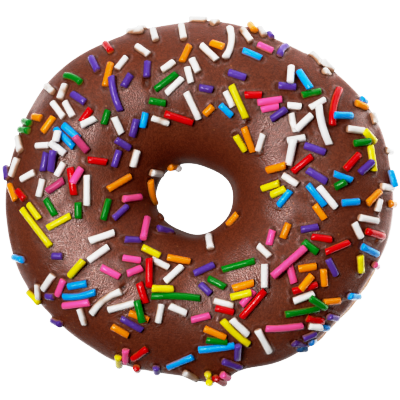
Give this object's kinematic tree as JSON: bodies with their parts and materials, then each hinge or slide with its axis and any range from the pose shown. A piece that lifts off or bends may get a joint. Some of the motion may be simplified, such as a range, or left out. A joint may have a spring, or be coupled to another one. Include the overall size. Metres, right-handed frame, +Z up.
{
  "type": "sprinkle frosted doughnut",
  "caption": "Ring doughnut with a domed top, a round centre hole and a flat foot, under a cap of smooth chocolate frosting with a rounded lip.",
  "frame": {"origin": "on the resting plane, below the middle of the object's box", "axes": "+Z up out of the frosted side, +X along the longer way across the ring, +Y along the shorter"},
  "size_m": [0.0894, 0.0834, 0.0297],
  "materials": {
    "dough": "matte",
    "frosting": "satin",
    "white_sprinkle": "satin",
    "yellow_sprinkle": "satin",
    "orange_sprinkle": "satin",
    "red_sprinkle": "satin",
    "pink_sprinkle": "satin",
    "purple_sprinkle": "satin",
    "blue_sprinkle": "satin",
    "green_sprinkle": "satin"
  },
  "bodies": {
    "root": {"dough": "dough", "frosting": "frosting"}
  },
  "joints": []
}
